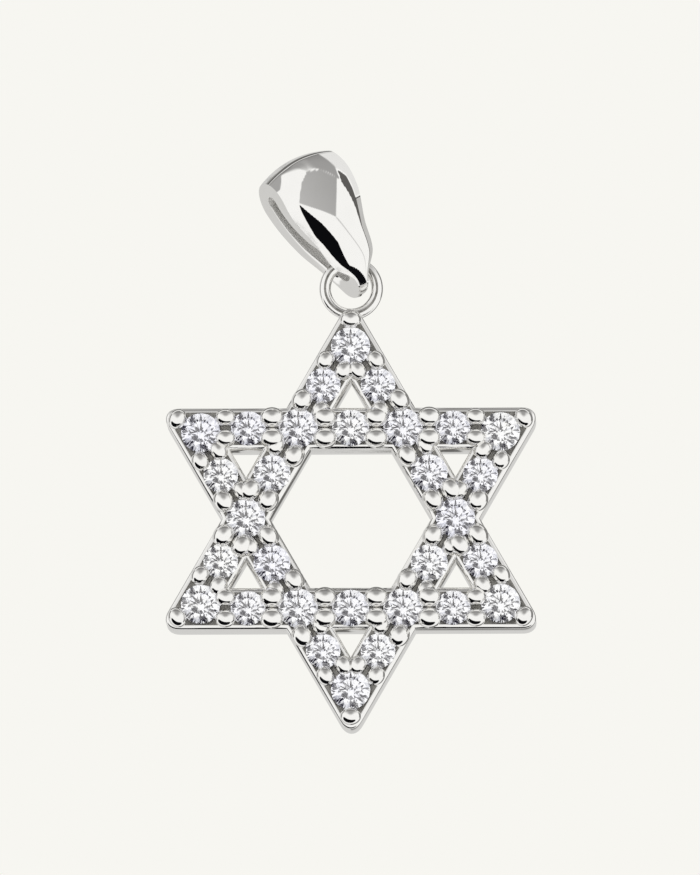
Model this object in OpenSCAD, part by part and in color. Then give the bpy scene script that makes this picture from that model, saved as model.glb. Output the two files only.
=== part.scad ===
// Six-pointed star pendant. Two interlaced triangles make a pierced frame, set along every bar
// with round brilliants held by shared beads. A jump ring is soldered to the top tip, and the
// ring hangs in a domed, tapered bail.
// X is to the right, Y to the back and Z up. The origin is the middle of the bail's inner top,
// where a chain carries it.

/* [Star] */
// Distance from the star's centre to the middle line of each bar
bar_apothem = 3.9; // [3.8:0.05:4.2]
// Width of each bar
bar_w = 1.8; // [1.75:0.05:1.9]
// Thickness of the frame from front to back
plate_t = 1.8; // [1.6:0.1:2.4]
// Chamfer along the front edges
edge_chamfer = 0.15; // [0.1:0.01:0.2]
// Radius of the rounded tips
tip_r = 0.55; // [0.4:0.05:0.7]
// Rounding of the small windows' corners as a share of their inner radius
window_round_share = 0.2; // [0.1:0.05:0.4]
// Width of the groove that runs between the stones
groove_w = 0.2; // [0.15:0.01:0.25]
// Depth of the groove that runs between the stones
groove_depth = 0.5; // [0.3:0.05:0.7]

/* [Stones] */
// Diameter of the stones at the tips and at the crossings
corner_stone_d = 1.7; // [1.6:0.01:1.72]
// Diameter of the stones in the middle of the hexagon's sides
side_stone_d = 1.6; // [1.4:0.05:1.7]
// Diameter of the stones between a tip and a crossing
leg_stone_d = 1.5; // [1.3:0.05:1.6]
// Distance from a crossing stone to the leg stone beside it
leg_stone_step = 2.15; // [2.1:0.01:2.2]
// Metal left between a tip stone and the unrounded walls beside it
tip_stone_rim = 0.23; // [0.15:0.01:0.28]
// Height of the girdles over the frame's front
girdle_lift = 0.05; // [0.02:0.01:0.1]
// Width of the table as a share of the stone's diameter
table_share = 0.57; // [0.5:0.01:0.64]
// Slope of the crown's main facets in degrees
crown_angle = 34.5; // [30:0.5:36]
// Slope of the pavilion's main facets in degrees
pavilion_angle = 40.75; // [39:0.25:42]
// Radius to the star facets' tips as a share of the stone's radius
star_tip_share = 0.763; // [0.74:0.001:0.78]
// Radius to the lower halves' inner tips as a share of the stone's radius
lower_tip_share = 0.2; // [0.15:0.01:0.3]
// Thickness of the girdle as a share of the stone's diameter
girdle_share = 0.03; // [0.02:0.005:0.04]
// Clearance round each stone in its seat
seat_gap = 0.02; // [0.01:0.005:0.03]
// Bore behind each stone as a share of its diameter
seat_bore_share = 0.53; // [0.4:0.01:0.6]

/* [Beads] */
// Radius of the beads along the bars
bead_r = 0.4; // [0.37:0.01:0.42]
// Radius of the smaller beads in the narrow corners and beside the tip stones
corner_bead_r = 0.36; // [0.34:0.02:0.38]
// Distance of the beads from the middle line of their bar
bead_offset = 0.45; // [0.43:0.01:0.47]
// Height of the beads' centres over the frame's front
bead_lift = 0.2; // [0.1:0.01:0.25]
// How much lower the beads stand on the bars that pass under the others
under_drop = 0.08; // [0.04:0.01:0.12]
// Distance from a tip stone's centre to the bead beyond it
tip_bead_step = 1.15; // [1.1:0.01:1.2]

/* [Ring] */
// Radius of the ring's wire circle
ring_r = 1.12; // [1.08:0.01:1.14]
// Diameter of the ring's wire
ring_wire_d = 0.5; // [0.44:0.01:0.52]
// Depth that the ring's wire is let into the top tip
ring_sink = 0.33; // [0.25:0.01:0.36]
// How far the ring lies in front of the frame's mid-plane, over the star's balance point
ring_front = 0.065; // [0:0.005:0.15]

/* [Bail] */
// Height of the bail
bail_h = 6.2; // [6:0.1:6.5]
// Width of the bail at its top
bail_w = 3.4; // [3.1:0.1:3.7]
// Depth of the bail from front to back at its top
bail_top_depth = 2.5; // [2.4:0.05:2.8]
// Depth of the bail from front to back at its bottom
bail_bottom_depth = 2.3; // [2.2:0.05:2.6]
// Metal at the bail's top
bail_top_t = 0.65; // [0.6:0.05:0.8]
// Metal at the bail's bottom
bail_bottom_t = 0.8; // [0.6:0.05:0.8]
// Width of the opening at its top, where a chain runs
bail_top_gap = 0.82; // [0.7:0.02:1]
// Width of the opening at its bottom, where the ring hangs
bail_bottom_gap = 1.3; // [1.2:0.05:1.4]
// Rise of the bail's domed face as a share of its width
dome_share = 0.105; // [0.08:0.005:0.14]
// Lean of the bail's top towards the left in degrees
bail_lean = 27.5; // [26:0.5:30]
// Tilt of the bail's top towards the front in degrees
bail_pitch = 9; // [7:0.5:10]
// Turn of the bail about its own length in degrees
bail_turn = 21.5; // [19:0.5:23]

/* [Hang] */
// Gap between the ring's wire and the middle of the bail's seat, straight up
hang_gap = 0.42; // [0.39:0.01:0.45]
// How far the ring's top lies in front of the middle of the bail's seat
hang_front = 0.17; // [0.14:0.01:0.19]
// How far the ring's top lies to the right of the middle of the bail's seat
hang_right = -0.02; // [-0.05:0.01:0.05]

/* [Hidden] */
POINTS = 6;
FULL_TURN = 360;
SECTOR = FULL_TURN / POINTS;
HALF_SECTOR = SECTOR / 2;
CORNERS = 3;
CORNER_TURN = FULL_TURN / CORNERS;
metal_colour = "silver";
stone_colour = "azure";
// Overshoot of cutting solids past the faces that they cut
cut_over = 1;
$fn = 48;

// The frame's front and the places along an edge of either triangle, from the edge's middle
front_z = plate_t / 2;
crossing_s = bar_apothem * tan(HALF_SECTOR);
leg_s = crossing_s + leg_stone_step;
corner_s = bar_apothem * tan(SECTOR);
crossing_ring = bar_apothem / cos(HALF_SECTOR);
tip_stone_ring = 2 * (bar_apothem + bar_w / 2) - 2 * (corner_stone_d / 2 + tip_stone_rim);
tip_top = 2 * (bar_apothem + bar_w / 2) - tip_r;
ring_up = tip_top - ring_sink + ring_wire_d / 2 + ring_r;
tip_arc_steps = 6;
// Middle of each small window, and its inner radius
window_ring = 4 * bar_apothem / 3;
window_apothem = bar_apothem / 3 - bar_w / 2;

// Height of the girdles' lower edge
girdle_z = front_z + girdle_lift;

// The six edges: the direction of its outward normal, how many others it passes under at the
// crossings, and whether it passes under at its first and at its second crossing
EDGE_ANGLE = 0;
EDGE_LEVEL = 1;
EDGE_UNDER = 2;
EDGES = [
    [90, 0, [false, false]],
    [270, 0, [false, false]],
    [30, 1, [false, true]],
    [150, 1, [true, false]],
    [210, 2, [true, true]],
    [330, 2, [true, true]],
];

// Widths of the bail at shares of its height, as shares of its width at the top: of its front's
// outer face, of its front's inner face, which gives the ring room, and of its back
BAIL_AT = 0;
BAIL_FACE = 1;
BAIL_INNER = 2;
BAIL_BACK = 3;
BAIL_WIDTHS = [
    [0, 0.12, 0.12, 0.12],
    [0.12, 0.22, 0.15, 0.15],
    [0.25, 0.6, 0.33, 0.33],
    [0.45, 0.76, 0.735, 0.66],
    [0.7, 1.02, 0.98, 0.9],
    [1, 1, 1, 1],
];
bail_bottom_steps = 16;
bail_side_steps = 12;
bail_top_steps = 24;
bail_face_steps = 10;

// The ring's top lies over the bail's seat, and the star's centre hangs below the ring
seat_drop = bail_h - bail_top_t - bail_bottom_t;
seat_point = bail_turned([0, 0, -seat_drop]);
ring_top = seat_point + [hang_right, -hang_front, ring_wire_d / 2 + hang_gap];
star_centre = ring_top - [0, -ring_front, ring_up + ring_r];

function on_x(p, a) = [p[0], p[1] * cos(a) - p[2] * sin(a), p[1] * sin(a) + p[2] * cos(a)];
function on_y(p, a) = [p[0] * cos(a) + p[2] * sin(a), p[1], p[2] * cos(a) - p[0] * sin(a)];
// A point on the bail's length, leant and tilted as the bail is
function bail_turned(p) = on_y(on_x(p, bail_pitch), -bail_lean);

function at_angle(r, a) = [r * cos(a), r * sin(a)];
// A point of an edge, s along it from its middle and d out from its middle line
function on_edge(a, s, d = 0) = at_angle(bar_apothem + d, a) + s * at_angle(1, a + 90);

// Outline of a triangle with rounded corners, one of which points in the direction turn
function triangle_points(apothem, r, turn) = [
    for (k = [0:CORNERS - 1], j = [0:tip_arc_steps])
        let (a = turn + CORNER_TURN * k)
        at_angle(2 * (apothem - r), a) + at_angle(r, a + CORNER_TURN * (j / tip_arc_steps - 0.5))
];
function hexagon_points(apothem) = [
    for (k = [0:POINTS - 1]) at_angle(apothem / cos(HALF_SECTOR), SECTOR * k)
];

// Solid between rings of points, each ring at its own height
module stacked(rings, heights) {
    n = len(rings[0]);
    last = len(rings) - 1;
    polyhedron(
        points = [for (i = [0:last], p = rings[i]) [p[0], p[1], heights[i]]],
        faces = concat(
            [[for (j = [0:n - 1]) j]],
            [for (i = [0:last - 1], j = [0:n - 1])
                let (k = (j + 1) % n)
                [i * n + j, (i + 1) * n + j, (i + 1) * n + k, i * n + k]],
            [[for (j = [n - 1:-1:0]) last * n + j]]
        )
    );
}

// One triangle of the star without its openings, with a chamfered front edge
module triangle_slab(turn) {
    a = bar_apothem + bar_w / 2;
    full = triangle_points(a, tip_r, turn);
    small = triangle_points(a - edge_chamfer, tip_r - edge_chamfer, turn);
    stacked([full, full, small], [-front_z, front_z - edge_chamfer, front_z]);
}

// Cutters of the hexagon and of the small window in each point, flared as the front chamfer is
module hexagon_cut() {
    a = bar_apothem - bar_w / 2;
    wide = a + edge_chamfer + cut_over;
    stacked(
        [hexagon_points(a), hexagon_points(a), hexagon_points(wide)],
        [-front_z - cut_over, front_z - edge_chamfer, front_z + cut_over]
    );
}

module window_cut() {
    a = window_apothem;
    r = a * window_round_share;
    wide = edge_chamfer + cut_over;
    plain = triangle_points(a, r, 90);
    flared = triangle_points(a + wide, r + wide, 90);
    stacked(
        [plain, plain, flared],
        [-front_z - cut_over, front_z - edge_chamfer, front_z + cut_over]
    );
}

// Seat of a stone: its own shape with a clearance, and the bore behind it
module seat_cut(d) {
    r = d / 2 + seat_gap;
    bore_r = d * seat_bore_share / 2;
    table_r = d * table_share / 2;
    top = girdle_z + girdle_share * d;
    crown_h = (d / 2 - table_r) * tan(crown_angle);
    rotate_extrude()
        polygon([
            [0, -front_z - cut_over],
            [bore_r, -front_z - cut_over],
            [bore_r, girdle_z - (r - bore_r) * tan(pavilion_angle)],
            [r, girdle_z],
            [r, top],
            [table_r + seat_gap, top + crown_h + seat_gap],
            [0, top + crown_h + seat_gap],
        ]);
}

// Groove along the middle line of an edge, from one tip stone to the other
module groove_cut(a) {
    length = 2 * (corner_s - corner_stone_d / 2);
    rotate(a)
        translate([bar_apothem - groove_w / 2, -length / 2, front_z - groove_depth])
            cube([groove_w, length, groove_depth + cut_over]);
}

module bead(place, r, drop) {
    translate([place[0], place[1], front_z + bead_lift - drop])
        sphere(r);
}

// The pair of beads between two stones of an edge, of radii r_out and r_in
module bead_pair(a, s, drop, r_out, r_in) {
    bead(on_edge(a, s, bead_offset), r_out, drop);
    bead(on_edge(a, s, -bead_offset), r_in, drop);
}

// Beads of one edge, on both sides of its crossings and beside its tip stones
module edge_beads(edge) {
    a = edge[EDGE_ANGLE];
    drop = edge[EDGE_LEVEL] * under_drop;
    corner_r = corner_stone_d / 2;
    side_gap = crossing_s - corner_r - side_stone_d / 2;
    leg_gap = leg_stone_step - corner_r - leg_stone_d / 2;
    tip_s = corner_s - (2 * bar_apothem - tip_stone_ring) * cos(HALF_SECTOR);
    tip_gap = tip_s - leg_s - corner_r - leg_stone_d / 2;
    for (k = [0, 1]) {
        way = 2 * k - 1;
        r = edge[EDGE_UNDER][k] ? corner_bead_r : bead_r;
        bead_pair(a, way * (side_stone_d / 2 + side_gap / 2), drop, r, bead_r);
        bead_pair(a, way * (crossing_s + corner_r + leg_gap / 2), drop, bead_r, r);
        bead_pair(a, way * (leg_s + leg_stone_d / 2 + tip_gap / 2), drop, corner_bead_r,
            corner_bead_r);
    }
}

module jump_ring() {
    translate([0, ring_up, ring_front])
        rotate_extrude()
            translate([ring_r, 0])
                circle(d = ring_wire_d);
}

// The star in its own plane, its front towards +Z and its first tip towards +Y
module star_in_plane() {
    difference() {
        union() {
            difference() {
                union() {
                    triangle_slab(90);
                    triangle_slab(270);
                }
                hexagon_cut();
                for (k = [0:POINTS - 1])
                    rotate(SECTOR * k)
                        translate([0, window_ring, 0])
                            window_cut();
                for (edge = EDGES)
                    groove_cut(edge[EDGE_ANGLE]);
            }
            for (edge = EDGES)
                edge_beads(edge);
            for (k = [0:POINTS - 1])
                bead(at_angle(tip_stone_ring + tip_bead_step, tip_angle(k)), corner_bead_r, 0);
            jump_ring();
        }
        for (i = [1:POINTS]) {
            place(tip_place(i)) seat_cut(corner_stone_d);
            place(crossing_place(i)) seat_cut(corner_stone_d);
            place(side_place(i)) seat_cut(side_stone_d);
        }
        for (i = [1:2 * POINTS])
            place(leg_place(i)) seat_cut(leg_stone_d);
    }
}

module place(p) {
    translate([p[0], p[1], 0])
        children();
}

// Places of the stones, numbered round the star from the right
function tip_angle(i) = SECTOR * i - HALF_SECTOR;
function tip_place(i) = at_angle(tip_stone_ring, tip_angle(i));
function crossing_place(i) = at_angle(crossing_ring, SECTOR * (i - 1));
function side_place(i) = at_angle(bar_apothem, tip_angle(i));
function leg_place(i) = on_edge(tip_angle(ceil(i / 2)), (i % 2 == 0 ? 1 : -1) * leg_s);

// Round brilliant with its girdle's lower edge at z = 0 and its table up
module brilliant(d) {
    r = d / 2;
    table_r = r * table_share;
    star_r = r * star_tip_share;
    low_r = r * lower_tip_share;
    girdle_h = d * girdle_share;
    crown = function (q, off) girdle_h + (r - q * cos(off)) * tan(crown_angle);
    pavilion = function (q, off) -(r - q * cos(off)) * tan(pavilion_angle);
    // Ring of n points at radius q, the first one turned by off
    ring = function (q, n, off, z) [for (k = [0:n - 1])
        [q * cos(off + FULL_TURN * k / n), q * sin(off + FULL_TURN * k / n), z]];
    points = concat(
        ring(table_r, 8, 0, crown(table_r, 0)),
        ring(star_r, 8, 22.5, crown(star_r, 22.5)),
        ring(r, 16, 0, girdle_h),
        ring(r, 16, 0, 0),
        ring(low_r, 8, 22.5, pavilion(low_r, 22.5)),
        [[0, 0, pavilion(0, 0)]]
    );
    // First index of each ring
    star = 8;
    upper = 16;
    lower = 32;
    low = 48;
    culet = 56;
    polyhedron(
        points = points,
        faces = concat(
            [[for (k = [7:-1:0]) k]],
            [for (k = [0:7]) [k, (k + 1) % 8, star + k]],
            [for (k = [0:7]) [k, star + k, upper + 2 * k, star + (k + 7) % 8]],
            [for (k = [0:7]) [star + k, upper + 2 * k + 1, upper + 2 * k]],
            [for (k = [0:7]) [star + k, upper + (2 * k + 2) % 16, upper + 2 * k + 1]],
            [for (k = [0:15])
                [upper + k, upper + (k + 1) % 16, lower + (k + 1) % 16, lower + k]],
            [for (k = [0:7]) [culet, low + (k + 7) % 8, lower + 2 * k, low + k]],
            [for (k = [0:7]) [low + k, lower + 2 * k, lower + 2 * k + 1]],
            [for (k = [0:7]) [low + k, lower + 2 * k + 1, lower + (2 * k + 2) % 16]]
        )
    );
}

// Slope of a width of the bail at a row of the table, from the rows on both sides of it
function width_slope(i, which) =
    let (a = max(i - 1, 0), b = min(i + 1, len(BAIL_WIDTHS) - 1))
    (BAIL_WIDTHS[b][which] - BAIL_WIDTHS[a][which])
        / (BAIL_WIDTHS[b][BAIL_AT] - BAIL_WIDTHS[a][BAIL_AT]);
// A width of the bail at a share of its height, on a smooth curve through the table
function width_at(share, which) =
    let (
        u = min(max(share, 0), 1),
        i = max([for (k = [0:len(BAIL_WIDTHS) - 2]) BAIL_WIDTHS[k][BAIL_AT] <= u ? k : 0]),
        h = BAIL_WIDTHS[i + 1][BAIL_AT] - BAIL_WIDTHS[i][BAIL_AT],
        t = (u - BAIL_WIDTHS[i][BAIL_AT]) / h
    )
    bail_w * (
        BAIL_WIDTHS[i][which] * (1 + 2 * t) * pow(1 - t, 2)
        + BAIL_WIDTHS[i + 1][which] * (3 - 2 * t) * pow(t, 2)
        + h * t * (1 - t) * (width_slope(i, which) * (1 - t) - width_slope(i + 1, which) * t)
    );

// Closed belt round a bottom circle and a top circle. Each entry is a point (back, up) and the
// outward direction there, and both belts of the bail have the same number of entries.
function belt(low_c, low_r, top_c, top_r) =
    let (
        b = 90 + asin((top_r - low_r) / (top_c - low_c)),
        on_arc = function (c, r, phi) [[-r * sin(phi), c - r * cos(phi)], [-sin(phi), -cos(phi)]],
        mix = function (p, q, t) [p[0] + (q[0] - p[0]) * t, p[1]]
    )
    concat(
        [for (k = [0:bail_bottom_steps]) on_arc(low_c, low_r, b * (2 * k / bail_bottom_steps - 1))],
        [for (k = [1:bail_side_steps - 1])
            mix(on_arc(low_c, low_r, b), on_arc(top_c, top_r, b), k / bail_side_steps)],
        [for (k = [0:bail_top_steps])
            on_arc(top_c, top_r, b + (FULL_TURN - 2 * b) * k / bail_top_steps)],
        [for (k = [1:bail_side_steps - 1])
            mix(on_arc(top_c, top_r, -b), on_arc(low_c, low_r, -b), k / bail_side_steps)]
    );

// The bail upright, the middle of its inner top at the origin and its opening along X
module bail_upright() {
    outer = belt(
        bail_bottom_depth / 2, bail_bottom_depth / 2,
        bail_h - bail_top_depth / 2, bail_top_depth / 2);
    inner = belt(
        bail_bottom_t + bail_bottom_gap / 2, bail_bottom_gap / 2,
        bail_h - bail_top_t - bail_top_gap / 2, bail_top_gap / 2);
    n = len(outer);
    m = bail_face_steps + 3;
    drop = bail_h - bail_top_t;
    section = function (i)
        let (
            share = outer[i][0][1] / bail_h,
            in_front = outer[i][0][0] < 0,
            w = width_at(share, in_front ? BAIL_FACE : BAIL_BACK),
            inner_w = width_at(share, in_front ? BAIL_INNER : BAIL_BACK)
        )
        concat(
            [for (k = [0:bail_face_steps])
                let (x = 2 * k / bail_face_steps - 1)
                let (p = outer[i][0] + outer[i][1] * dome_share * w * (1 - x * x))
                [x * w / 2, p[0], p[1] - drop]],
            [for (side = [1, -1]) [side * inner_w / 2, inner[i][0][0], inner[i][0][1] - drop]]
        );
    polyhedron(
        points = [for (i = [0:n - 1]) each section(i)],
        faces = [
            for (i = [0:n - 1], k = [0:m - 1])
                let (j = (i + 1) % n, l = (k + 1) % m)
                [i * m + k, j * m + k, j * m + l, i * m + l]
        ]
    );
}

module bail() {
    color(metal_colour)
        rotate([0, -bail_lean, 0])
            rotate([bail_pitch, 0, 0])
                rotate([0, 0, bail_turn])
                    bail_upright();
}

// Puts what is drawn in the star's plane where the star hangs
module hung() {
    translate(star_centre)
        rotate([90, 0, 0])
            children();
}

module star_frame() {
    color(metal_colour)
        hung() star_in_plane();
}

module stone(p, d) {
    color(stone_colour)
        hung()
            translate([p[0], p[1], girdle_z])
                brilliant(d);
}

bail();
star_frame();
for (i = [1:POINTS]) {
    stone(tip_place(i), corner_stone_d);
    stone(crossing_place(i), corner_stone_d);
    stone(side_place(i), side_stone_d);
}
for (i = [1:2 * POINTS])
    stone(leg_place(i), leg_stone_d);
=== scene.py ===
import math

import bmesh
import bpy
from mathutils import Matrix, Vector


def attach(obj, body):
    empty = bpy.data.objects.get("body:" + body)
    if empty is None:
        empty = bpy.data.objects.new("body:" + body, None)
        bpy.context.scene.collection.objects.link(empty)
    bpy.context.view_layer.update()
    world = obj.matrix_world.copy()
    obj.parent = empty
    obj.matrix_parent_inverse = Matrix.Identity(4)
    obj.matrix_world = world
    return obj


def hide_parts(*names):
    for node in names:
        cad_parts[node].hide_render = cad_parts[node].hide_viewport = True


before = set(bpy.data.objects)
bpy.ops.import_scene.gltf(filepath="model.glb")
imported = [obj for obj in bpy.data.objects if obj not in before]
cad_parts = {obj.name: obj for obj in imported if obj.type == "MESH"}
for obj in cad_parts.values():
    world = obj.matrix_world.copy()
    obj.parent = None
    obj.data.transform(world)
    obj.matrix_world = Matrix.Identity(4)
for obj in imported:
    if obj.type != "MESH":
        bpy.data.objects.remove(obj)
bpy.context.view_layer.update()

MM = 0.001


# The bail: a closed loop of white gold, cast in one piece. Its outer face is domed and polished
# and its edges are softened. It narrows to a thin bar below, which passes through the ring.
bail_h = 6.2
bail_w = 3.4
bail_top_t = 0.65
bail_outer = (1.15, 1.15, 4.95, 1.25)
bail_inner = (1.45, 0.65, 5.14, 0.41)
bail_dome = 0.105
# Shares of its height, and of its width there at the front's outer face, its inner face and the back
bail_widths = [(0, 0.12, 0.12, 0.12), (0.12, 0.22, 0.15, 0.15), (0.25, 0.6, 0.33, 0.33),
               (0.45, 0.76, 0.735, 0.66), (0.7, 1.02, 0.98, 0.9), (1, 1, 1, 1)]
bail_turn, bail_pitch, bail_lean = 21.5, 9, 27.5
bail_steps = (40, 72, 56, 16)
bail_face_steps = 64
bail_side_steps = 3
bail_inside_steps = 6
bail_edge = 0.07


def width_at(share, which):
    u = min(max(share, 0), 1)
    rows = bail_widths
    i = max(k for k in range(len(rows) - 1) if rows[k][0] <= u)

    def slope(k):
        a, b = rows[max(k - 1, 0)], rows[min(k + 1, len(rows) - 1)]
        return (b[which] - a[which]) / (b[0] - a[0])

    h = rows[i + 1][0] - rows[i][0]
    t = (u - rows[i][0]) / h
    bend = h * t * (1 - t) * (slope(i) * (1 - t) - slope(i + 1) * t)
    low, high = rows[i][which], rows[i + 1][which]
    return bail_w * (low * (1 + 2 * t) * (1 - t) ** 2 + high * (3 - 2 * t) * t * t + bend)


def belt(low_c, low_r, top_c, top_r, k):
    """Point k of a belt round a bottom and a top circle as (back, up), and its outward direction."""
    b = math.pi / 2 + math.asin((top_r - low_r) / (top_c - low_c))

    def on_arc(c, r, phi):
        n = Vector((-math.sin(phi), -math.cos(phi)))
        return Vector((-r * math.sin(phi), c - r * math.cos(phi))), n

    low, side, top, back = bail_steps
    if k <= low:
        return on_arc(low_c, low_r, b * (2 * k / low - 1))
    if k <= low + side:
        t = (k - low) / side
        (p, n), (q, _) = on_arc(low_c, low_r, b), on_arc(top_c, top_r, b)
        return p.lerp(q, t), n
    if k <= low + side + top:
        return on_arc(top_c, top_r, b + (2 * math.pi - 2 * b) * (k - low - side) / top)
    t = (k - low - side - top) / back
    (p, n), (q, _) = on_arc(top_c, top_r, -b), on_arc(low_c, low_r, -b)
    return p.lerp(q, t), n


section = [(2 * k / bail_face_steps - 1, 0) for k in range(bail_face_steps + 1)]
section += [(1, k / bail_side_steps) for k in range(1, bail_side_steps)]
section += [(1 - 2 * k / bail_inside_steps, 1) for k in range(bail_inside_steps + 1)]
section += [(-1, 1 - k / bail_side_steps) for k in range(1, bail_side_steps)]

turn = Matrix.Rotation(math.radians(-bail_lean), 4, "Y")
turn = turn @ Matrix.Rotation(math.radians(bail_pitch), 4, "X")
turn = turn @ Matrix.Rotation(math.radians(bail_turn), 4, "Z")

# Borders between the areas of the polished dome, as (share of the height, place across it)
leaf_left = [(0.1, -0.75), (0.2, -0.66), (0.35, -0.76), (0.5, -0.84), (0.62, -0.76), (0.764, -0.7)]
leaf_right = [(0.06, 0.62), (0.14, 0), (0.22, -0.42), (0.4, -0.33), (0.57, -0.46), (0.764, -0.7)]
panel_left = [(0.56, 0), (0.764, -0.7), (0.82, -0.57), (0.87, -0.38), (0.905, -0.1)]
panel_right = [(0.12, 0.58), (0.56, 0), (0.8, 0.5), (0.88, 0.24), (0.905, -0.1)]
shade_left = [(0.36, 0.78), (0.54, 0.73), (0.76, 0.55), (0.85, 0.62)]
shade_right = [(0.36, 0.78), (0.51, 0.83), (0.7, 0.82), (0.79, 0.79), (0.85, 0.65), (0.96, 0.57)]


def line_at(points, share):
    k = max([0] + [n for n in range(len(points) - 1) if points[n][0] <= share])
    (a, x), (b, y) = points[k], points[k + 1]
    return x + (y - x) * min(max((share - a) / (b - a), 0), 1)


def past(value, edge, blur):
    """0 before an edge and 1 past it, over a narrow blend."""
    return min(max((value - edge) / blur + 0.5, 0), 1)


def dome_facing(across, share):
    """Direction of the polished dome, which is fuller than its cast height, as tilts in degrees to
    the right and upwards from the front: each area in turn is laid over the ones before it."""
    leaf_from, leaf_to, panel_from, panel_to, shade_from, shade_to = (
        past(across, line_at(points, share), 0.035)
        for points in (leaf_left, leaf_right, panel_left, panel_right, shade_left, shade_right))
    ridge = line_at(panel_right, share)
    below_panel = 1 - past(share, 0.765, 0.01)
    start = 0.905 - 0.43 * across ** 2 if across > 0 else min(0.905 - 0.085 * across, 0.96)
    t = min(max((share - start) / (0.972 - start), 0), 1)
    top_band = past(share, start, 0.015)
    upper = past(share, 0.62, 0.02)
    areas = [
        (1, (-34 + 20 * (across + 0.7)) * (1 - t), 8 + 32 * t),
        (past(across, ridge, 0.04 + 5 * max(share - 0.88, 0)), 14 + 34 * across, 4),
        (past(across, 0, 0.4) * top_band, 8, 20 + 16 * t),
        (leaf_to * (1 - panel_to) * below_panel, -10, -8),
        ((1 - min(abs(across - ridge) / 0.06, 1)) * (1 - past(share, 0.56, 0.01)), 2, 14),
        (leaf_from * (1 - leaf_to) * below_panel, -31, -26),
        (panel_from * (1 - panel_to) * past(share, 0.56, 0.01) * (1 - past(share, 0.905, 0.01)),
         4 * across, 17 + 4 * across),
        (shade_from * (1 - past(share, 0.85, 0.03)), 56, 8),
        (shade_to, 62 - 28 * upper, 8 + 20 * upper),
        (past(share, 0.9, 0.01) * past(-across, 0.59 + 4.3 * (0.974 - share), 0.05), -10, 30),
        (past(share, 0.974, 0.01), 24 * across, 57 + 800 * max(share - 0.972, 0)),
        (1 - past(share, 0.06, 0.02), 10 * across, -58),
    ]
    to_right, upwards = 0, 0
    for weight, a, b in areas:
        to_right += (a - to_right) * weight
        upwards += (b - upwards) * weight
    return to_right, upwards


bm = bmesh.new()
facing = bm.verts.layers.float_vector.new("dome_facing")
rounds = sum(bail_steps)
inside_from = bail_face_steps + bail_side_steps
seen_from_below = 0.14
bmesh.ops.create_grid(bm, x_segments=rounds, y_segments=len(section), size=0.5)
for face in bm.faces:
    centre = face.calc_center_median()
    i = round((centre.x + 0.5) * rounds - 0.5)
    row = (centre.y + 0.5) * len(section) - 0.5
    _, n = belt(*bail_outer, i)
    face.material_index = 1 if row < bail_face_steps - 0.25 and n.x < 0 else 0
    if inside_from - 0.25 < row < inside_from + bail_inside_steps - 0.75:
        face.material_index = 2
for v in bm.verts:
    i = round((v.co.x + 0.5) * rounds)
    across, depth = section[round((v.co.y + 0.5) * len(section)) % len(section)]
    p, n = belt(*bail_outer, i)
    share = p.y / bail_h
    w = width_at(share, 1 if p.x < 0 else 3)
    inner_w = width_at(share, 2 if p.x < 0 else 3)
    to_right, upwards = (math.radians(a) for a in dome_facing(across, share))
    tilt = max(math.hypot(to_right, upwards), 1e-6)
    aslant = math.sin(tilt) / tilt
    v[facing] = (aslant * to_right, -math.cos(tilt), aslant * upwards - seen_from_below)
    p = p + n * bail_dome * w * (1 - across * across)
    q, _ = belt(*bail_inner, i)
    p = p.lerp(q, depth)
    v.co = (across * (w + (inner_w - w) * depth) / 2, p.x, p.y - (bail_h - bail_top_t))
bmesh.ops.remove_doubles(bm, verts=bm.verts[:], dist=1e-4)
bmesh.ops.recalc_face_normals(bm, faces=bm.faces[:])
sharp = [e for e in bm.edges if e.calc_face_angle(0) > math.radians(40)]
bmesh.ops.bevel(bm, geom=sharp, offset=bail_edge, offset_type="OFFSET", segments=3, profile=0.5,
                affect="EDGES", clamp_overlap=True, material=-1)
bmesh.ops.transform(bm, matrix=Matrix.Scale(MM, 4) @ turn, verts=bm.verts[:])
mesh = bpy.data.meshes.new("polished_bail")
bm.to_mesh(mesh)
bm.free()
for face in mesh.polygons:
    face.use_smooth = True
mesh.set_sharp_from_angle(angle=math.radians(50))
bail = bpy.data.objects.new("polished_bail", mesh)
bpy.context.scene.collection.objects.link(bail)

gold = bpy.data.materials.new("white_gold")
gold.use_nodes = True
nodes, links = gold.node_tree.nodes, gold.node_tree.links
skin = nodes["Principled BSDF"]
skin.inputs["Metallic"].default_value = 1
place = nodes.new("ShaderNodeTexCoord")
cloud = nodes.new("ShaderNodeTexNoise")
cloud.inputs["Scale"].default_value = 900
cloud.inputs["Detail"].default_value = 4
links.new(place.outputs["Object"], cloud.inputs["Vector"])
tint = nodes.new("ShaderNodeValToRGB")
tint.color_ramp.elements[0].color = (0.88, 0.875, 0.86, 1)
tint.color_ramp.elements[1].color = (0.93, 0.925, 0.915, 1)
links.new(cloud.outputs["Fac"], tint.inputs["Fac"])
links.new(tint.outputs["Color"], skin.inputs["Base Color"])
rub = nodes.new("ShaderNodeTexNoise")
rub.inputs["Scale"].default_value = 2600
rub.inputs["Detail"].default_value = 6
links.new(place.outputs["Object"], rub.inputs["Vector"])
gloss = nodes.new("ShaderNodeMapRange")
gloss.inputs["From Min"].default_value = 0.3
gloss.inputs["From Max"].default_value = 0.7
gloss.inputs["To Min"].default_value = 0.03
gloss.inputs["To Max"].default_value = 0.09
links.new(rub.outputs["Fac"], gloss.inputs["Value"])
links.new(gloss.outputs["Result"], skin.inputs["Roughness"])
mesh.materials.append(gold)
domed_gold = gold.copy()
domed_gold.name = "white_gold_dome"
nodes, links = domed_gold.node_tree.nodes, domed_gold.node_tree.links
faces_to = nodes.new("ShaderNodeAttribute")
faces_to.attribute_name = "dome_facing"
in_world = nodes.new("ShaderNodeVectorTransform")
in_world.vector_type = "NORMAL"
in_world.convert_from = "OBJECT"
in_world.convert_to = "WORLD"
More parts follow.
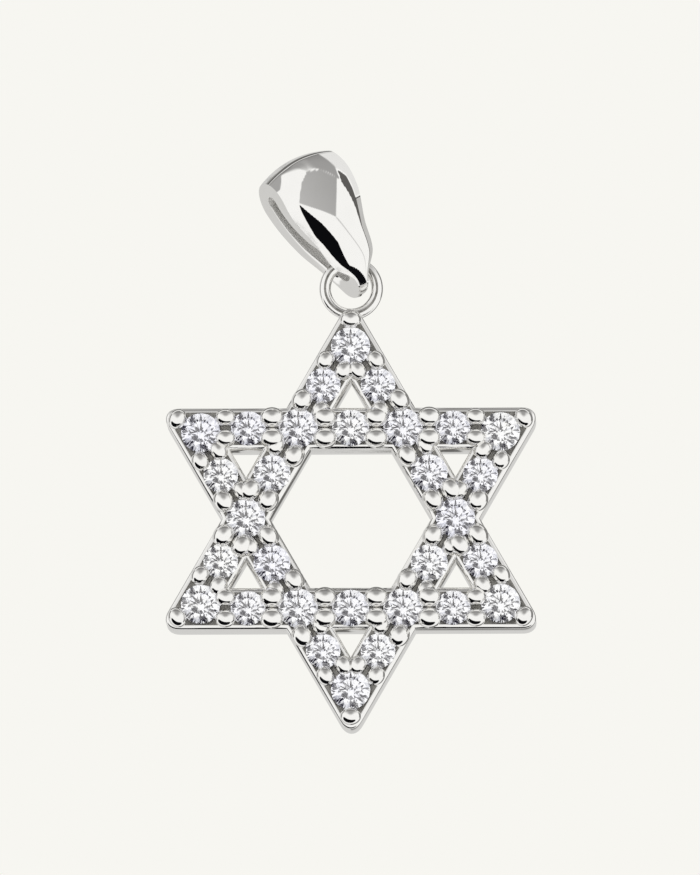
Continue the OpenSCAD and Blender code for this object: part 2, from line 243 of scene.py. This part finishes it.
links.new(faces_to.outputs["Vector"], in_world.inputs["Vector"])
links.new(in_world.outputs["Vector"], nodes["Principled BSDF"].inputs["Normal"])
mesh.materials.append(domed_gold)
satin = gold.copy()
satin.name = "satin_gold"
for node in satin.node_tree.nodes:
    if node.type == "MAP_RANGE":
        node.inputs["To Min"].default_value = 0.34
        node.inputs["To Max"].default_value = 0.42
mesh.materials.append(satin)
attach(bail, "bail")
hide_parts("bail")


# The star: two interlaced triangles of white gold cast as one pierced frame. Beads are raised
# from the bars between the stones, the seats are cut, and the jump ring is soldered to the top.
star_at = Vector((2.1463, 0.63806, -14.70143))
apothem = 3.9
bar_w = 1.8
plate_t = 1.8
edge_chamfer = 0.15
back_chamfer = 0.05
tip_r = 0.55
window_round = 0.08
groove_w = 0.2
groove_depth = 0.5
corner_d, side_d, leg_d = 1.7, 1.6, 1.5
leg_step = 2.15
tip_rim = 0.23
girdle_lift = 0.05
girdle_share = 0.03
table_share = 0.57
crown_slope = math.tan(math.radians(34.5))
pavilion_slope = math.tan(math.radians(40.75))
bore_share = 0.53
seat_gap = 0.012
rim = 0.19
recess = 0.35
bead_size = Vector((0.45, 0.53, 0.48))
small_bead = 0.86
bead_lift = 0.22
bead_offset = 0.45
under_drop = 0.08
tip_bead_step = 1.15
ring_r = 1.12
wire_r = 0.25
ring_sink = 0.33
ring_front = 0.065
# Each bar: direction of its outward normal, its level, and which of its crossings it passes under
bars = [(90, 0, (0, 0)), (270, 0, (0, 0)), (30, 1, (0, 1)), (150, 1, (1, 0)), (210, 2, (1, 1)),
        (330, 2, (1, 1))]

front = plate_t / 2
crossing_s = apothem * math.tan(math.radians(30))
leg_s = crossing_s + leg_step
corner_s = apothem * math.tan(math.radians(60))
crossing_ring = apothem / math.cos(math.radians(30))
tip_ring = 2 * (apothem + bar_w / 2) - 2 * (corner_d / 2 + tip_rim)
tip_top = 2 * (apothem + bar_w / 2) - tip_r
ring_up = tip_top - ring_sink + wire_r + ring_r
tip_s = corner_s - (2 * apothem - tip_ring) * math.cos(math.radians(30))


def spot(r, a, s=0):
    """A point at distance r in direction a (degrees), then s across that direction."""
    c, n = math.cos(math.radians(a)), math.sin(math.radians(a))
    return Vector((r * c - s * n, r * n + s * c, 0))


def at(p, z=0, turn=0):
    return Matrix.Translation((p[0], p[1], z)) @ Matrix.Rotation(math.radians(turn), 4, "Z")


def prism(bm, sides, rings, rounding, place):
    """Upright solid through rings (inner radius, height) of a regular polygon whose first corner is
    towards +Y and whose corners are rounded."""
    old = set(bm.verts)
    r, z = rings[0]
    bmesh.ops.create_circle(bm, cap_ends=True, segments=sides, radius=r / math.cos(math.pi / sides),
                            matrix=Matrix.Translation((0, 0, z)))
    if rounding:
        bmesh.ops.bevel(bm, geom=[v for v in bm.verts if v not in old],
                        offset=rounding * math.tan(math.pi / sides), offset_type="OFFSET",
                        segments=10, profile=0.5, affect="VERTICES", material=-1)
    faces = [f for f in bm.faces if not old.intersection(f.verts)]
    for wide, high in rings[1:]:
        made = bmesh.ops.extrude_face_region(bm, geom=faces)["geom"]
        if z != rings[0][1]:
            bmesh.ops.delete(bm, geom=faces, context="FACES_ONLY")
        faces = [g for g in made if isinstance(g, bmesh.types.BMFace)]
        lifted = [g for g in made if isinstance(g, bmesh.types.BMVert)]
        bmesh.ops.scale(bm, vec=(wide / r, wide / r, 1), verts=lifted)
        bmesh.ops.translate(bm, vec=(0, 0, high - z), verts=lifted)
        r, z = wide, high
    bmesh.ops.transform(bm, matrix=place, verts=[v for v in bm.verts if v not in old])


def spun(bm, profile, place, steps):
    """Solid turned about Z from points (radius, height) that start and end on the axis."""
    old = set(bm.verts)
    verts = [bm.verts.new((r, 0, z)) for r, z in profile]
    edges = [bm.edges.new(pair) for pair in zip(verts, verts[1:])]
    bmesh.ops.spin(bm, geom=verts + edges, axis=(0, 0, 1), cent=(0, 0, 0), steps=steps,
                   angle=2 * math.pi, use_merge=True)
    bmesh.ops.remove_doubles(bm, verts=[v for v in bm.verts if v not in old], dist=1e-5)
    bmesh.ops.transform(bm, matrix=place, verts=[v for v in bm.verts if v not in old])


def solid(name, bm):
    bmesh.ops.recalc_face_normals(bm, faces=bm.faces[:])
    mesh = bpy.data.meshes.new(name)
    bm.to_mesh(mesh)
    bm.free()
    made = bpy.data.objects.new(name, mesh)
    bpy.context.scene.collection.objects.link(made)
    return made


def combine(target, tool, operation):
    """Joins the tool's solids to the target or cuts them out of it, and removes the tool."""
    step = target.modifiers.new("combine", "BOOLEAN")
    step.operation = operation
    step.solver = "EXACT"
    step.object = tool
    done = bpy.data.meshes.new_from_object(target.evaluated_get(bpy.context.evaluated_depsgraph_get()))
    target.modifiers.clear()
    old, target.data = target.data, done
    bpy.data.meshes.remove(old)
    bpy.data.objects.remove(tool)
    bm = bmesh.new()
    bm.from_mesh(target.data)
    bmesh.ops.remove_doubles(bm, verts=bm.verts[:], dist=1e-5)
    bmesh.ops.dissolve_degenerate(bm, edges=bm.edges[:], dist=1e-5)
    bmesh.ops.triangulate(bm, faces=bm.faces[:])
    bm.to_mesh(target.data)
    bm.free()


def triangle(turn, inset=0):
    """One triangle without its openings, its front edges rounded over and its back ones eased, or
    with an inset the cutter that sinks the floor inside its rim."""
    bm = bmesh.new()
    r = apothem + bar_w / 2 - inset
    if inset:
        prism(bm, 3, [(r, front - recess), (r, front + 1)], tip_r - inset, at((0, 0), 0, turn))
        return solid("triangle", bm)
    prism(bm, 3, [(r, -front), (r, front)], tip_r, at((0, 0), 0, turn))
    for side, size, steps in ((1, edge_chamfer, 3), (-1, back_chamfer, 1)):
        edge = [e for e in bm.edges if all(abs(v.co.z - side * front) < 1e-4 for v in e.verts)]
        bmesh.ops.bevel(bm, geom=edge, offset=size, offset_type="OFFSET", segments=steps, profile=0.5,
                        affect="EDGES", material=-1)
    return solid("triangle", bm)


def opening_rings(r):
    """Rings of a cutter whose walls flare at the front and at the back, as the outer edges do."""
    c, b = edge_chamfer, back_chamfer
    return [(r + 1, -front - 1 + b), (r, b - front), (r, front - c), (r + 0.2 * c, front - 0.62 * c),
            (r + 0.62 * c, front - 0.2 * c), (r + c, front), (r + c + 0.1, front + 0.1)]


star = triangle(0)
star.name = "pave_star"
combine(star, triangle(180), "UNION")
bm = bmesh.new()
prism(bm, 6, opening_rings(apothem - bar_w / 2), 0, at((0, 0), 0, 30))
combine(star, solid("hexagon", bm), "DIFFERENCE")
windows = [at(spot(4 * apothem / 3, 90 + 60 * k), 0, 60 * k) for k in range(6)]
bm = bmesh.new()
for place in windows:
    prism(bm, 3, opening_rings(apothem / 3 - bar_w / 2), window_round, place)
combine(star, solid("windows", bm), "DIFFERENCE")
# The floor between the rims is cut down, so that the beads and the stones stand out of it
floor_cut = triangle(0, rim)
combine(floor_cut, triangle(180, rim), "UNION")
bm = bmesh.new()
r = apothem - bar_w / 2 + rim
prism(bm, 6, [(r, -front), (r, 2 * front)], 0, at((0, 0), 0, 30))
r = apothem / 3 - bar_w / 2 + rim
for place in windows:
    prism(bm, 3, [(r, -front), (r, 2 * front)], window_round, place)
combine(floor_cut, solid("kept_rims", bm), "DIFFERENCE")
combine(star, floor_cut, "DIFFERENCE")
length = 2 * (corner_s - corner_d / 2)
for a, level, under in bars:
    bm = bmesh.new()
    bmesh.ops.create_cube(bm, size=1, matrix=at(spot(apothem, a), front - groove_depth + 0.5, a)
                          @ Matrix.Diagonal((groove_w, length, 1, 1)))
    combine(star, solid("groove", bm), "DIFFERENCE")

dome = [(math.cos(t), math.sin(t)) for t in (math.radians(90 - 11 * k) for k in range(11))]
dome[0] = (0, 1)


def bead(bm, p, turn, size, drop):
    """A raised bead: a domed head, long across its bar's width, on a short post."""
    foot = -(bead_lift + recess + 0.1) / bead_size.z
    profile = dome + [(dome[-1][0], foot), (0, foot)]
    place = at(p, front + bead_lift - drop, turn) @ Matrix.Diagonal((*(bead_size * size), 1))
    spun(bm, profile, place, 28)


for a, level, under in bars:
    drop = level * under_drop
    bm = bmesh.new()
    for k in (0, 1):
        way = 2 * k - 1
        low = small_bead if under[k] else 1
        rows = ((crossing_s - corner_d / 2 - (crossing_s - corner_d / 2 - side_d / 2) / 2, low, 1),
                (crossing_s + corner_d / 2 + (leg_step - corner_d / 2 - leg_d / 2) / 2, 1, low),
                (leg_s + leg_d / 2 + (tip_s - leg_s - corner_d / 2 - leg_d / 2) / 2,
                 small_bead, small_bead))
        for s, outer, inner in rows:
            bead(bm, spot(apothem + bead_offset, a, way * s), a, outer, drop)
            bead(bm, spot(apothem - bead_offset, a, way * s), a, inner, drop)
    combine(star, solid("beads", bm), "UNION")
bm = bmesh.new()
for k in range(6):
    bead(bm, spot(tip_ring + tip_bead_step, 60 * k + 30), 60 * k + 30, small_bead, 0)
combine(star, solid("tip_beads", bm), "UNION")

bm = bmesh.new()
places = [(spot(tip_ring, 60 * i - 30), corner_d) for i in range(1, 7)]
places += [(spot(crossing_ring, 60 * i), corner_d) for i in range(6)]
places += [(spot(apothem, 60 * i - 30), side_d) for i in range(1, 7)]
places += [(spot(apothem, 60 * i - 30, way * leg_s), leg_d)
           for i in range(1, 7) for way in (-1, 1)]
for p, d in places:
    r = d / 2 + seat_gap
    bore = d * bore_share / 2
    top = girdle_lift + girdle_share * d
    table = d / 2 * table_share + seat_gap
    rise = (d / 2 - d / 2 * table_share) * crown_slope + seat_gap
    spun(bm, [(0, -2 * plate_t), (bore, -2 * plate_t), (bore, girdle_lift - (r - bore) * pavilion_slope),
              (r, girdle_lift), (r, top), (table, top + rise), (0, top + rise)], at(p, front), 48)
combine(star, solid("seats", bm), "DIFFERENCE")

bm = bmesh.new()
bmesh.ops.create_circle(bm, segments=32, radius=wire_r, matrix=Matrix.Translation((ring_r, 0, 0)))
bmesh.ops.spin(bm, geom=bm.verts[:] + bm.edges[:], axis=(0, 1, 0), cent=(0, 0, 0), steps=96,
               angle=2 * math.pi, use_merge=True)
bmesh.ops.remove_doubles(bm, verts=bm.verts[:], dist=1e-5)
place = Matrix.Translation((0, ring_up, ring_front)) @ Matrix.Rotation(math.pi / 2, 4, "X")
bmesh.ops.transform(bm, matrix=place, verts=bm.verts[:])
combine(star, solid("ring", bm), "UNION")

hang = Matrix.Translation(star_at) @ Matrix.Rotation(math.radians(90), 4, "X")
star.data.transform(Matrix.Scale(MM, 4) @ hang)
for face in star.data.polygons:
    face.use_smooth = True
star.data.set_sharp_from_angle(angle=math.radians(35))
star.data.materials.clear()
star.data.materials.append(gold)
# The sunk floor between the rims gets its own material. It is rougher, unpolished cast metal, and its
# colour is painted far darker than the polished gold as painted shade in the recesses.
cast_and_painted_shade = bpy.data.materials.new("cast_gold_and_painted_shade")
cast_and_painted_shade.use_nodes = True
nodes, links = cast_and_painted_shade.node_tree.nodes, cast_and_painted_shade.node_tree.links
skin = nodes["Principled BSDF"]
skin.inputs["Metallic"].default_value = 1
place = nodes.new("ShaderNodeTexCoord")
grain = nodes.new("ShaderNodeTexNoise")
grain.inputs["Scale"].default_value = 5000
grain.inputs["Detail"].default_value = 5
links.new(place.outputs["Object"], grain.inputs["Vector"])
tint = nodes.new("ShaderNodeValToRGB")
tint.color_ramp.elements[0].position = 0.3
tint.color_ramp.elements[0].color = (0.2, 0.195, 0.18, 1)
tint.color_ramp.elements[1].position = 0.75
tint.color_ramp.elements[1].color = (0.46, 0.45, 0.43, 1)
links.new(grain.outputs["Fac"], tint.inputs["Fac"])
links.new(tint.outputs["Color"], skin.inputs["Base Color"])
skin.inputs["Roughness"].default_value = 0.38
star.data.materials.append(cast_and_painted_shade)
# Front-facing flat faces sunk below the rims' front, on the floor and the groove bottoms, take this
# material with its painted shade.
painted_shade_floor_y = (star_at.y - front + 0.5 * recess) * MM
for face in star.data.polygons:
    flat = face.normal.y < -0.98
    if flat and face.center.y > painted_shade_floor_y and face.center.y < (star_at.y + front - 0.1) * MM:
        face.material_index = 1
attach(star, "star")
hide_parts("star_frame")


# The stones: thirty round brilliants, colourless, cut with flat polished facets, dropped into
# their seats and held under the beads.
stone = bpy.data.materials.new("brilliant")
stone.use_nodes = True
nodes, links = stone.node_tree.nodes, stone.node_tree.links
nodes.remove(nodes["Principled BSDF"])
out = nodes["Material Output"]
place = nodes.new("ShaderNodeTexCoord")
cloud = nodes.new("ShaderNodeTexNoise")
cloud.inputs["Scale"].default_value = 420
cloud.inputs["Detail"].default_value = 2
links.new(place.outputs["Object"], cloud.inputs["Vector"])
shade = nodes.new("ShaderNodeValToRGB")
shade.color_ramp.elements[0].position = 0.35
shade.color_ramp.elements[0].color = (0.985, 0.985, 1, 1)
shade.color_ramp.elements[1].position = 0.65
shade.color_ramp.elements[1].color = (1, 1, 0.995, 1)
links.new(cloud.outputs["Fac"], shade.inputs["Fac"])
glass = nodes.new("ShaderNodeBsdfGlass")
glass.inputs["IOR"].default_value = 2.417
glass.inputs["Roughness"].default_value = 0
links.new(shade.outputs["Color"], glass.inputs["Color"])
links.new(glass.outputs[0], out.inputs["Surface"])
for name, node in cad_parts.items():
    if "stone" in name:
        node.data.materials.clear()
        node.data.materials.append(stone)
        for face in node.data.polygons:
            face.use_smooth = False


# The camera: long lens, a little below the pendant, as in the photograph.
scene = bpy.context.scene
mm_per_pixel = 0.043
distance = 0.7
lift, swing = math.radians(-8), math.radians(1.5)
look = Vector((-math.sin(swing) * math.cos(lift), math.cos(swing) * math.cos(lift), -math.sin(lift)))
right = Vector((math.cos(swing), math.sin(swing), 0))
up = right.cross(look)
aim = (star_at + right * -0.052 + up * 3.59) * MM
camera = bpy.data.objects.new("camera", bpy.data.cameras.new("camera"))
camera.data.sensor_width = 36
camera.data.lens = 36 * distance / (875 * mm_per_pixel * MM)
camera.data.clip_start = 0.01
camera.data.clip_end = 10
camera.data.dof.use_dof = False
camera_turn = Matrix((right, up, -look)).transposed().to_4x4()
camera.matrix_world = Matrix.Translation(aim - look * distance) @ camera_turn
scene.collection.objects.link(camera)
scene.camera = camera

# The floor lies well below the hanging pendant. Polished metal isn't given its reflection.
bm = bmesh.new()
bmesh.ops.create_grid(bm, x_segments=1, y_segments=1, size=3, matrix=Matrix.Translation((0, 0, -0.3)))
floor_mesh = bpy.data.meshes.new("floor")
bm.to_mesh(floor_mesh)
bm.free()
floor = bpy.data.objects.new("floor", floor_mesh)
scene.collection.objects.link(floor)
pale = bpy.data.materials.new("pale_floor")
pale.use_nodes = True
pale.node_tree.nodes["Principled BSDF"].inputs["Base Color"].default_value = (0.86, 0.85, 0.82, 1)
pale.node_tree.nodes["Principled BSDF"].inputs["Roughness"].default_value = 0.9
floor_mesh.materials.append(pale)
floor.visible_glossy = False
floor.visible_transmission = False

# The studio: a white tent round the pendant, grey behind it, with a grey wedge from the camera up
# over it and a black strip below it to the left. A direction is split into its angle off the
# camera's axis and its angle round that axis, and each zone has a soft border in them.
world = bpy.data.worlds.new("studio")
scene.world = world
world.use_nodes = True
nodes, links = world.node_tree.nodes, world.node_tree.links
nodes.clear()
direction = nodes.new("ShaderNodeTexCoord").outputs["Generated"]


def along(vector):
    dot = nodes.new("ShaderNodeVectorMath")
    dot.operation = "DOT_PRODUCT"
    dot.inputs[1].default_value = vector
    links.new(direction, dot.inputs[0])
    return dot.outputs["Value"]


def calc(operation, *terms):
    node = nodes.new("ShaderNodeMath")
    node.operation = operation
    for socket, term in zip(node.inputs, terms):
        if isinstance(term, (int, float)):
            socket.default_value = term
        else:
            links.new(term, socket)
    return node.outputs[0]


def soft(value, low, high):
    edge = nodes.new("ShaderNodeMapRange")
    edge.interpolation_type = "SMOOTHSTEP"
    edge.inputs["From Min"].default_value = low
    edge.inputs["From Max"].default_value = high
    links.new(value, edge.inputs["Value"])
    return edge.outputs["Result"]


def zone(below, mask, colour):
    mix = nodes.new("ShaderNodeMix")
    mix.data_type = "RGBA"
    links.new(mask, mix.inputs["Factor"])
    if isinstance(below, tuple):
        mix.inputs[6].default_value = (*below, 1)
    else:
        links.new(below, mix.inputs[6])
    mix.inputs[7].default_value = (*colour, 1)
    return mix.outputs[2]


side, high, near = along(right), along(up), along(-look)
degree = 180 / math.pi
off_axis = calc("MULTIPLY", calc("ARCCOSINE", near), degree)
around = calc("MULTIPLY", calc("ARCTAN2", side, high), degree)
aside = calc("ABSOLUTE", around)
strip = math.radians(-162)
strip_across = along(right * math.cos(strip) - up * math.sin(strip))
strip_along = along(right * math.sin(strip) + up * math.cos(strip))
from_strip = calc("MULTIPLY", calc("ARCTAN2", strip_across, strip_along), degree)

sky = zone((1.0, 0.995, 0.98), soft(off_axis, 112, 122), (0.66, 0.655, 0.64))
wedge = calc("MULTIPLY", calc("SUBTRACT", 1, soft(aside, 12, 62)),
             calc("SUBTRACT", 1, soft(off_axis, 98, 110)))
sky = zone(sky, calc("MULTIPLY", wedge, soft(off_axis, -2, 46)), (0.36, 0.355, 0.35))
sky = zone(sky, calc("MULTIPLY", wedge, soft(off_axis, 60, 96)), (0.2, 0.195, 0.19))
lean = calc("DIVIDE", from_strip, 62)
reach = calc("DIVIDE", calc("SUBTRACT", off_axis, 76), 27)
black = calc("SQRT", calc("ADD", calc("MULTIPLY", lean, lean), calc("MULTIPLY", reach, reach)))
sky = zone(sky, calc("SUBTRACT", 1, soft(black, 0.9, 1.05)), (0.004, 0.004, 0.005))
flags = calc("MULTIPLY", soft(off_axis, 101, 106), calc("SUBTRACT", 1, soft(off_axis, 116, 122)))
beside = calc("MULTIPLY", soft(aside, 46, 54), calc("SUBTRACT", 1, soft(aside, 100, 108)))
flags = calc("MULTIPLY", flags, beside)
sky = zone(sky, flags, (0.12, 0.115, 0.11))
outline = calc("MULTIPLY", soft(off_axis, 120, 128), calc("SUBTRACT", 1, soft(off_axis, 148, 156)))
sky = zone(sky, calc("MULTIPLY", outline, soft(around, -50, -40)), (0.15, 0.147, 0.14))
# The stones see the same tent with deeper gaps, which their facets turn into small dark points
dark = calc("MULTIPLY", soft(off_axis, 12, 14), calc("SUBTRACT", 1, soft(off_axis, 100, 104)))
from_dark = calc("ABSOLUTE", calc("SUBTRACT", from_strip, 40))
dark = calc("MULTIPLY", dark, calc("SUBTRACT", 1, soft(from_dark, 46, 50)))
pale = calc("SUBTRACT", 1, soft(calc("ABSOLUTE", calc("ADD", from_strip, 60)), 24, 30))
shown = zone((1.2, 1.2, 1.2), pale, (0.8, 0.81, 0.86))
shown = zone(shown, dark, (0.012, 0.01, 0.025))
shown = zone(shown, calc("SUBTRACT", 1, soft(off_axis, 13, 15)), (0.012, 0.01, 0.02))
tent = nodes.new("ShaderNodeBackground")
seen = nodes.new("ShaderNodeLightPath")
through = nodes.new("ShaderNodeMix")
through.data_type = "RGBA"
links.new(seen.outputs["Is Transmission Ray"], through.inputs["Factor"])
links.new(sky, through.inputs[6])
links.new(shown, through.inputs[7])
links.new(through.outputs[2], tent.inputs["Color"])
tent.inputs["Strength"].default_value = 1
backdrop = nodes.new("ShaderNodeBackground")
backdrop.inputs["Color"].default_value = (0.930, 0.922, 0.880, 1)
pick = nodes.new("ShaderNodeMixShader")
links.new(seen.outputs["Is Camera Ray"], pick.inputs["Fac"])
links.new(tent.outputs[0], pick.inputs[1])
links.new(backdrop.outputs[0], pick.inputs[2])
links.new(pick.outputs[0], nodes.new("ShaderNodeOutputWorld").inputs["Surface"])

# Light needs many bounces inside the stones.
scene.view_settings.view_transform = "Standard"
scene.cycles.max_bounces = 24
scene.cycles.glossy_bounces = 20
scene.cycles.transmission_bounces = 24
scene.cycles.transparent_max_bounces = 24
scene.cycles.sample_clamp_indirect = 8
